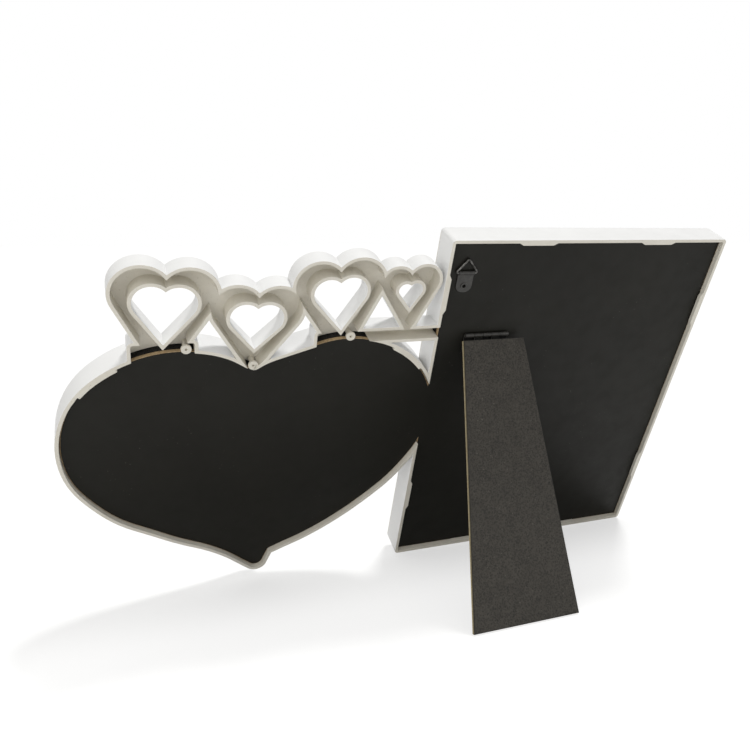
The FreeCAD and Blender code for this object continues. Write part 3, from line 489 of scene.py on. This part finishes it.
for node, name, materials, slot_name, radius in (
    ("back_board", "board_core", [HARDBOARD], "hardboard", BOARD_ROUND),
    ("back_board_facing", "board_facing", [BOARD_BLACK], "board_black", FACING_ROUND),
    ("heart_window_sheet", "heart_glazing", [CLEAR], "clear_sheet", SHEET_ROUND),
    ("rectangle_window_sheet", "rectangle_glazing", [CLEAR], "clear_sheet", SHEET_ROUND),
    ("heart_photo_insert", "heart_insert", [INSERT], "insert_paper", INSERT_ROUND),
    ("rectangle_photo_insert", "rectangle_insert", [INSERT], "insert_paper", INSERT_ROUND),
    ("board_hinge_leaf", "board_leaf", [METAL, PAINTED_SHADE_METAL], "black_metal", METAL_ROUND),
    ("leg_hinge_leaf", "leg_leaf", [METAL, PAINTED_SHADE_METAL], "black_metal", METAL_ROUND),
    ("hinge_pin", "hinge_wire", [METAL], "black_metal", PIN_ROUND),
    ("board_hinge_rivets", "board_rivets", [METAL], "black_metal", METAL_ROUND),
    ("leg_hinge_rivets", "leg_rivets", [METAL], "black_metal", METAL_ROUND),
    ("hanger_strap", "strap", [METAL], "black_metal", METAL_ROUND),
    ("hanger_eyelet", "eyelet", [METAL], "black_metal", METAL_ROUND),
):
    body = welded(node)
    if slot_name == "clear_sheet":
        lift_off(body, SHEET_GAP)
    if PAINTED_SHADE_METAL in materials:
        paint_leaf_shade(body)
    round_edges(body, radius)
    piece(body, name, materials, node, flat=slot_name in FLAT_SLOTS)

ring = welded("hanger_ring")
piece(ring, "ring", [WIRE], "hanger_ring")

# Foam pads
FOAM_ROUND = 0.7 * MM
for node, name in (("heart_foam_pad", "heart_foam"), ("rectangle_foam_pad", "rectangle_foam")):
    slab = welded(node)
    round_edges(slab, FOAM_ROUND)
    pad = piece(slab, name, [FOAM], node)

# The leg: a cut board, black on its inner face, with pebbled paper on its outer one
LEG_ROUND = 0.15 * MM
core = welded("easel_leg_core")
widest = max(core.faces, key=lambda f: f.calc_area())
outward = widest.normal.copy()
if outward.z < 0.0:
    outward = -outward
for face in core.faces:
    face.material_index = 1 if abs(face.normal.dot(outward)) > FACING else 0
outer_at = max(v.co.dot(outward) for v in core.verts)
round_edges(core, LEG_ROUND)
piece(core, "leg_core", [leg_board(outward, outer_at), LEG_BACK], "easel_leg_core")

PAPER_PITCH = 0.8 * MM
PAPER_PEBBLE = 0.05 * MM
PAPER_FRAY = 0.35 * MM
PEBBLE_SCALE = 700.0
FRAY_SCALE = 260.0


def frayed_paper(node, name, material):
    """The leg's outer paper: a pebbled sheet whose cut edges are a little uneven."""
    solid = welded(node)
    outer_faces = [f for f in solid.faces if f.normal.dot(outward) > FACING]
    outer = max(outer_faces, key=lambda f: f.calc_area())
    normal = outer.normal.copy()
    corners = [v.co.copy() for v in outer.verts]
    count = len(corners)
    start = max(range(count), key=lambda i: corners[i].z + corners[(i + 1) % count].z)
    top_a, top_b, foot_b, foot_a = [corners[(start + i) % count] for i in range(4)]
    deep = max(-(v.co - top_a).dot(normal) for v in solid.verts)
    solid.free()
    rows = round((foot_a - top_a).length / PAPER_PITCH)
    columns = round((foot_b - foot_a).length / PAPER_PITCH)
    sheet_mesh = bmesh.new()
    grid = []
    for j in range(rows + 1):
        left = top_a.lerp(foot_a, j / rows)
        right_end = top_b.lerp(foot_b, j / rows)
        line = []
        for i in range(columns + 1):
            place = left.lerp(right_end, i / columns)
            fray = PAPER_FRAY * (0.5 + 0.5 * noise.noise(place * FRAY_SCALE)) ** 2
            inward = Vector((0.0, 0.0, 0.0))
            if i == 0:
                inward += (right_end - left).normalized()
            if i == columns:
                inward += (left - right_end).normalized()
            if j == rows:
                inward += (top_a - foot_a).normalized()
            pebble = PAPER_PEBBLE * (noise.noise(place * PEBBLE_SCALE) - 1.0)
            line.append(sheet_mesh.verts.new(place + inward * fray + normal * pebble))
        grid.append(line)
    for j in range(rows):
        for i in range(columns):
            sheet_mesh.faces.new((grid[j][i], grid[j + 1][i], grid[j + 1][i + 1], grid[j][i + 1]))
    rim = [line[0] for line in grid] + grid[-1][1:] + [line[-1] for line in reversed(grid[:-1])]
    rim += list(reversed(grid[0][1:-1]))
    lower = [sheet_mesh.verts.new(v.co - normal * deep) for v in rim]
    for k in range(len(rim)):
        after = (k + 1) % len(rim)
        sheet_mesh.faces.new((rim[k], lower[k], lower[after], rim[after]))
    sheet_mesh.faces.new(lower)
    bmesh.ops.recalc_face_normals(sheet_mesh, faces=sheet_mesh.faces)
    return piece(sheet_mesh, name, [material], node)


frayed_paper("easel_leg_cover", "leg_cover", LEG_PAPER)


# Floor and light
bpy.context.scene.view_settings.view_transform = "Standard"
STAGE_HALF = 12.0
FLOOR_DROP = 0.2 * MM
FLOOR_COLOUR = (0.75, 0.75, 0.75)
FLOOR_SEEN = (0.46, 0.46, 0.455)
WHITE_LIGHT = (1.0, 1.0, 1.0)
# Camera-seen floor glow at the rear and at the front; its rise towards the front is painted light
FLOOR_GLOW = (0.55, 0.72)
GLOW_SPAN = (-50.0 * MM, 20.0 * MM)

floor_mesh = bpy.data.meshes.new("floor")
floor_signs = ((-1.0, -1.0), (1.0, -1.0), (1.0, 1.0), (-1.0, 1.0))
floor_corners = [(x * STAGE_HALF, y * STAGE_HALF, 0.0) for x, y in floor_signs]
floor_mesh.from_pydata(floor_corners, [], [(0, 1, 2, 3)])
floor = bpy.data.objects.new("floor", floor_mesh)
bpy.context.scene.collection.objects.link(floor)
floor.location.z = cad_box[0][2] - FLOOR_DROP

floor_paint = Paint("floor_white")
path = floor_paint.tree.nodes.new("ShaderNodeLightPath")
seen = path.outputs["Is Camera Ray"]
floor_paint.colour(floor_paint.mix(seen, FLOOR_COLOUR, FLOOR_SEEN))
# The glow grows along y towards the front: painted light that lightens the floor's shadows on the +y
# side
spot = floor_paint.tree.nodes.new("ShaderNodeSeparateXYZ")
floor_paint.join(floor_paint.place, spot.inputs[0])
painted_light_ramp = floor_paint.tree.nodes.new("ShaderNodeMapRange")
painted_light_ramp.interpolation_type = "SMOOTHSTEP"
painted_light_ramp.inputs["From Min"].default_value, painted_light_ramp.inputs["From Max"].default_value = GLOW_SPAN
painted_light_ramp.inputs["To Min"].default_value, painted_light_ramp.inputs["To Max"].default_value = FLOOR_GLOW
floor_paint.join(spot.outputs["Y"], painted_light_ramp.inputs["Value"])
glow = floor_paint.tree.nodes.new("ShaderNodeMath")
glow.operation = "MULTIPLY"
floor_paint.join(painted_light_ramp.outputs["Result"], glow.inputs[1])
floor_paint.join(seen, glow.inputs[0])
floor_paint.join(glow.outputs[0], floor_paint.shader.inputs["Emission Strength"])
floor_paint.set(Emission_Color=(*WHITE_LIGHT, 1.0), Roughness=0.7, Specular_IOR_Level=0.0)
floor_mesh.materials.append(floor_paint.material)

WORLD_LIGHT = 0.55
WORLD_COLOUR = (1.0, 0.995, 0.985)
world = bpy.data.worlds.new("studio")
bpy.context.scene.world = world
world.use_nodes = True
tree = world.node_tree
tree.nodes.clear()
soft = tree.nodes.new("ShaderNodeBackground")
soft.inputs["Color"].default_value = (*WORLD_COLOUR, 1.0)
soft.inputs["Strength"].default_value = WORLD_LIGHT
plain = tree.nodes.new("ShaderNodeBackground")
plain.inputs["Color"].default_value = (*WHITE_LIGHT, 1.0)
plain.inputs["Strength"].default_value = 1.0
path = tree.nodes.new("ShaderNodeLightPath")
choose = tree.nodes.new("ShaderNodeMixShader")
tree.links.new(path.outputs["Is Camera Ray"], choose.inputs["Fac"])
tree.links.new(soft.outputs[0], choose.inputs[1])
tree.links.new(plain.outputs[0], choose.inputs[2])
out = tree.nodes.new("ShaderNodeOutputWorld")
tree.links.new(choose.outputs[0], out.inputs["Surface"])


def lamp(name, kind, place, aim, energy, colour):
    light = bpy.data.lights.new(name, kind)
    light.energy = energy
    light.color = colour
    obj = bpy.data.objects.new(name, light)
    obj.location = place
    obj.rotation_euler = (Vector(aim) - Vector(place)).to_track_quat("-Z", "Y").to_euler()
    bpy.context.scene.collection.objects.link(obj)
    return light


KEY_PLACE = (-0.38, -0.12, 1.2)
KEY_AIM = (0.0, 0.0, 0.0)
KEY_POWER = 1.7
KEY_SPREAD = math.radians(12.0)
FILL_PLACE = (0.75, 0.75, 0.45)
FILL_AIM = (0.0, 0.0, 0.1)
FILL_POWER = 2.4
FILL_COLOUR = (1.0, 0.985, 0.95)
FILL_SIZE = 0.8

key = lamp("key", "SUN", KEY_PLACE, KEY_AIM, KEY_POWER, WHITE_LIGHT)
key.angle = KEY_SPREAD
fill = lamp("fill", "AREA", FILL_PLACE, FILL_AIM, FILL_POWER, FILL_COLOUR)
fill.shape = "DISK"
fill.size = FILL_SIZE
